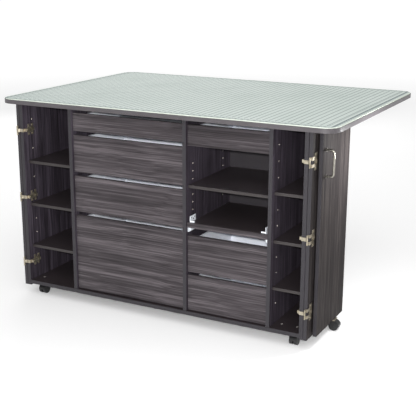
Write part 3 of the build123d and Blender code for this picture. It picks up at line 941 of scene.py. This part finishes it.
@dataclass
class FoldingDoor:
    """One pair of folding leaves with its hinges, handle and bumpers."""

    side: str
    hinge_z: tuple[float, ...] = (0.157, 0.455, 0.752)
    flange_half: float = 0.026
    cup_y: float = 0.033
    strap: float = 0.0012
    cup_screw: float = 0.0038
    plate_thickness: float = 0.0025
    plate_screw: float = 0.0036
    plate_screw_at: tuple[float, float] = (0.036, 0.06)
    plate_screw_half: float = 0.018
    arm_thickness: float = 0.0095
    arm_screw: tuple[float, float] = (0.0042, 0.0012)
    arm_screw_at: tuple[float, float] = (0.018, 0.048)
    fold_screws_each: int = 12
    fold_screw: tuple[float, float] = (0.0026, 0.0006)
    fold_inset: float = 0.014
    bumper: tuple[float, float] = (0.005, 0.0018)
    bumper_inset: tuple[float, float] = (0.012, 0.02)

    @property
    def out(self) -> float:
        """Outward direction along X."""
        return -1.0 if self.side == "left" else 1.0

    def face(self, node: str, outer: bool) -> float:
        """X of a leaf's face away from the cabinet, or of the one towards it."""
        low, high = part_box(node)
        return high.x if (self.out > 0) == outer else low.x

    def build(self) -> None:
        """Build the door."""
        leaf_1, leaf_2 = f"{self.side}_door_leaf_1", f"{self.side}_door_leaf_2"
        for leaf in (leaf_1, leaf_2):
            # The leaves take the darker door laminate, whose colours hold painted shade.
            dress(leaf, Finishes.door_face_shaded, {Facing.FRONT: Finishes.front_edge})
        dress(f"{self.side}_door_hardware", Finishes.hinge_plate)
        dress(f"{self.side}_fold_hinge_half", Finishes.hinge_plate)
        dress(f"{self.side}_handle", Finishes.grip_metal)
        self.hinge_screws(leaf_1)
        self.fold_screws(leaf_1, leaf_2)
        self.bumpers(leaf_2)

    def hinge_screws(self, leaf: str) -> None:
        """Screws on the hinge cup flanges, the mounting plates and the arms.

        Args:
            leaf: Name of the inner leaf.
        """
        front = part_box(leaf)[0].y
        x = self.face(leaf, True) + self.out * self.strap
        points = [(x, front + self.cup_y, z + dz) for z in self.hinge_z
                  for dz in (-self.flange_half, self.flange_half)]
        ScrewSet(f"{self.side}_cup_screws", f"{self.side}_door_inner", points,
                 (self.out, 0, 0), self.cup_screw).build()
        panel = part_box(f"{self.side}_side_panel")
        inner = (panel[0].x if self.out > 0 else panel[1].x) - self.out * self.plate_thickness
        points = [(inner, panel[0].y + y, z + dz) for z in self.hinge_z
                  for y in self.plate_screw_at
                  for dz in (-self.plate_screw_half, self.plate_screw_half)]
        ScrewSet(f"{self.side}_plate_screws", "cabinet", points, (-self.out, 0, 0),
                 self.plate_screw).build()
        arm = inner - self.out * self.arm_thickness
        points = [(arm, panel[0].y + y, z) for z in self.hinge_z for y in self.arm_screw_at]
        ScrewSet(f"{self.side}_arm_screws", "cabinet", points, (-self.out, 0, 0),
                 *self.arm_screw).build()

    def fold_screws(self, leaf_1: str, leaf_2: str) -> None:
        """Screw rows of the long fold hinge, in both leaves.

        Args:
            leaf_1: Name of the inner leaf.
            leaf_2: Name of the outer leaf.
        """
        low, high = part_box(f"{self.side}_fold_hinge_half")
        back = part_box(leaf_1)[1].y - self.fold_inset
        step = (high.z - low.z) / self.fold_screws_each
        zs = [low.z + step * (i + 0.5) for i in range(self.fold_screws_each)]
        x1 = self.face(leaf_1, True) + self.out * self.strap
        x2 = self.face(leaf_2, False) - self.out * self.strap
        ScrewSet(f"{self.side}_fold_screws_1", f"{self.side}_door_inner",
                 [(x1, back, z) for z in zs], (self.out, 0, 0), *self.fold_screw).build()
        ScrewSet(f"{self.side}_fold_screws_2", f"{self.side}_door_outer",
                 [(x2, back, z) for z in zs], (-self.out, 0, 0), *self.fold_screw).build()

    def bumpers(self, leaf: str) -> None:
        """Soft bumpers at the free corners of the outer leaf.

        Args:
            leaf: Name of the outer leaf.
        """
        low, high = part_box(leaf)
        x = self.face(leaf, False)
        in_y, in_z = self.bumper_inset
        points = [(x, low.y + in_y, z) for z in (low.z + in_z, high.z - in_z)]
        ScrewSet(f"{self.side}_bumpers", f"{self.side}_door_outer", points, (-self.out, 0, 0),
                 *self.bumper, "cutting_mat", Finishes.mat_rim, 0.0).build()


@dataclass
class Caster:
    """One twin-wheel caster."""

    name: str
    cap_size: tuple[float, float] = (0.0045, 0.0012)
    tread_from: float = 0.015
    tread_slope: float = 0.3

    def build(self) -> None:
        """Build the caster."""
        dress(f"{self.name}_caster_housing", Finishes.nylon)
        wheels = dress(f"{self.name}_caster_wheels", Finishes.nylon)
        low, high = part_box(f"{self.name}_caster_wheels")
        middle = (low + high) / 2
        along_x = (high.x - low.x) < (high.y - low.y)
        axle = Vector((1, 0, 0)) if along_x else Vector((0, 1, 0))
        wheels.data.materials.append(Finishes.get(Finishes.tread))
        for face in wheels.data.polygons:
            arm = face.center - middle
            reach = (arm - axle * arm.dot(axle)).length
            if abs(face.normal.dot(axle)) < self.tread_slope and reach > self.tread_from:
                face.material_index = 1
        half = (high - low).dot(axle) / 2
        turn = Euler((0, math.pi / 2, 0) if along_x else (math.pi / 2, 0, 0))
        ends = [tuple(middle + axle * half * s) for s in (-1, 1)]
        spokes = SPOKES.cook(f"{self.name}_spokes", ends, {
            "Turn": tuple(turn), "Finish": Finishes.get(Finishes.tread)})
        show(f"{self.name}_spokes", spokes, f"{self.name}_wheels")
        for label, end, sign in (("a", ends[0], -1), ("b", ends[1], 1)):
            # Each hub cap gets a near-black painted-shade mark in its middle.
            ScrewSet(f"{self.name}_hub_{label}", f"{self.name}_wheels", [end],
                     tuple(axle * sign), *self.cap_size, "caster_plastic",
                     Finishes.nylon, 0.3).build()


@dataclass
class TableTop:
    """Fixed top, drop leaf, their mats and the leaf's hinges."""

    hinge_x: tuple[float, ...] = (-0.7, 0.0, 0.7)
    screw_dx: tuple[float, ...] = (-0.019, 0.0, 0.019)
    screw_from_seam: float = 0.014
    plate_drop: float = 0.0018
    screw: float = 0.0032

    def build(self) -> None:
        """Build the top."""
        for node in ("fixed_top", "drop_leaf"):
            dress(node, Finishes.top_edge, {Facing.TOP: Finishes.top_face}, both_ways=True)
        for node in ("front_mat", "rear_mat"):
            dress(node, Finishes.mat_rim, {Facing.TOP: Finishes.mat})
        for node, body, side in (("leaf_hinges_fixed", "cabinet", -1),
                                 ("leaf_hinges_moving", "rear_leaf", 1)):
            dress(node, Finishes.hinge_plate)
            low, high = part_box(node)
            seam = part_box("fixed_top")[1].y
            middle = (low.x + high.x) / 2
            z = high.z - self.plate_drop
            points = [(middle + x + dx, seam + side * self.screw_from_seam, z)
                      for x in self.hinge_x for dx in self.screw_dx]
            ScrewSet(node + "_screws", body, points, (0, 0, -1), self.screw).build()


@dataclass
class Gate:
    """One swing gate that carries the raised leaf."""

    side: str
    pad_height: float = 0.0022
    pad_length: float = 0.08
    pad_from_tip: float = 0.01
    pad_from_rear: tuple[float, float] = (0.014, 0.002)

    def build(self) -> None:
        """Build the gate."""
        node = f"{self.side}_gate"
        dress(node, Finishes.panel_face)
        low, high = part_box(node)
        tip = high.x if self.side == "right" else low.x
        inward = -1 if self.side == "right" else 1
        start = tip + inward * self.pad_from_tip
        end = tip + inward * (self.pad_from_tip + self.pad_length)
        front, rear = [high.y - y for y in self.pad_from_rear]
        pad = blocks_mesh(node + "_pad", [((start, front, high.z),
                                           (end, rear, high.z + self.pad_height))])
        show(node + "_pad", pad, node, Finishes.felt)


# ---- stage --------------------------------------------------------------------------------------


@dataclass(frozen=True)
class Lamp:
    """One square light: its place, its width in metres and its power in watts."""

    name: str
    at: Point
    size: float
    power: float


@dataclass
class Stage:
    """Pale floor, soft lights, white surround and the camera."""

    camera_at: Point = (1.80546, -3.52971, 1.4809)
    yaw: float = 27.3907
    pitch: float = 15.6603
    roll: float = 0.17
    lens: float = 78.044
    shift: tuple[float, float] = (0.00257, 0.00044)
    sensor: float = 36.0
    far_clip: float = 100.0
    floor_half: float = 60.0
    floor_white: float = 0.93
    glow: tuple[float, float] = (0.06, 0.3)
    glow_from: float = 9.0
    glow_over: float = 60.0
    ambient: float = 0.55
    sun_from: Point = (0.45, -1.0, 1.0)
    sun_power: float = 1.05
    sun_softness: float = 50.0
    aim: Point = (0.0, 0.0, 0.5)
    lamps: tuple[Lamp, ...] = (Lamp("front_fill", (1.84, -3.6, 1.565), 0.08, 116.0),
                               Lamp("right_side", (0.95, -0.15, 0.74), 0.1, 3.8),
                               Lamp("rear_fill", (-2.4, 3.6, 2.2), 2.4, 40.0))

    def floor(self) -> None:
        """Lay the floor, which glows a little more far from the table."""
        h = self.floor_half
        mesh = bpy.data.meshes.new("floor")
        mesh.from_pydata([(-h, -h, 0), (h, -h, 0), (h, h, 0), (-h, h, 0)], [], [(0, 1, 2, 3)])
        floor = bpy.data.objects.new("floor", mesh)
        bpy.context.scene.collection.objects.link(floor)
        sheet = FinishTree("pale_floor")
        x, y, _ = sheet.place()
        far = (((x * x + y * y) - self.glow_from) / self.glow_over).unit()
        near_glow, far_glow = [(g, g, g, 1.0) for g in self.glow]
        glow = sheet.mix(far, near_glow, far_glow)
        white = (self.floor_white, self.floor_white, self.floor_white, 1.0)
        mesh.materials.append(sheet.finish(Base_Color=white, Roughness=0.9,
                                           Emission_Color=glow, Emission_Strength=1.0,
                                           Specular_IOR_Level=0.0))

    def light(self, lamp: Lamp) -> None:
        """Hang one square light that looks at the middle of the table.

        Args:
            lamp: The light's place, width and power.
        """
        source = bpy.data.lights.new(lamp.name, "AREA")
        source.energy, source.size, source.shape = lamp.power, lamp.size, "SQUARE"
        held = bpy.data.objects.new(lamp.name, source)
        held.location = lamp.at
        aim = Vector(self.aim) - Vector(lamp.at)
        held.rotation_euler = aim.to_track_quat("-Z", "Y").to_euler()
        held.visible_camera = False
        bpy.context.scene.collection.objects.link(held)

    def sun(self) -> None:
        """Set one broad soft sun."""
        lamp = bpy.data.lights.new("soft_sun", "SUN")
        lamp.energy, lamp.angle = self.sun_power, math.radians(self.sun_softness)
        held = bpy.data.objects.new("soft_sun", lamp)
        held.rotation_euler = (-Vector(self.sun_from)).to_track_quat("-Z", "Y").to_euler()
        bpy.context.scene.collection.objects.link(held)

    def surround(self) -> None:
        """Set the white surround, which looks brighter than the light it gives."""
        world = bpy.data.worlds.new("white_surround")
        world.use_nodes = True
        tree = world.node_tree
        path = tree.nodes.new("ShaderNodeLightPath")
        strength = Num(tree, path.outputs["Is Camera Ray"]) * (1.0 - self.ambient) + self.ambient
        ground = tree.nodes["Background"]
        ground.inputs[0].default_value = (1, 1, 1, 1)
        tree.links.new(strength.socket, ground.inputs[1])
        bpy.context.scene.world = world
        bpy.context.scene.view_settings.view_transform = "Standard"

    def camera(self) -> None:
        """Set the camera."""
        lens = bpy.data.cameras.new("view")
        lens.lens, lens.sensor_width = self.lens, self.sensor
        lens.shift_x, lens.shift_y = self.shift
        lens.clip_end = self.far_clip
        held = bpy.data.objects.new("view", lens)
        held.location = self.camera_at
        turn = Euler((math.radians(90 - self.pitch), 0, math.radians(self.yaw))).to_matrix()
        held.rotation_euler = (turn @ Euler((0, 0, math.radians(self.roll))).to_matrix()
                               ).to_euler()
        bpy.context.scene.collection.objects.link(held)
        bpy.context.scene.camera = held

    def build(self) -> None:
        """Build the stage."""
        self.floor()
        self.surround()
        self.sun()
        for lamp in self.lamps:
            self.light(lamp)
        self.camera()


def write_sizes() -> None:
    """Update the view layer, so the scene's evaluated state is current."""
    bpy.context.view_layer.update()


def main() -> None:
    """Build every sub-assembly in order."""
    logging.basicConfig(level=logging.INFO, format="%(message)s")
    Carcass().build()
    dress("door_hinge_plates", Finishes.hinge_plate)
    DrawerStack().build()
    for side in ("left", "right"):
        FoldingDoor(side).build()
    for name in ("front_left", "front_right", "rear_left", "rear_right", "left_door",
                 "right_door"):
        Caster(name).build()
    TableTop().build()
    dress("gate_hinges", Finishes.hinge_plate)
    for side in ("left", "right"):
        Gate(side).build()
    Stage().build()
    write_sizes()


if __name__ == "__main__":
    main()
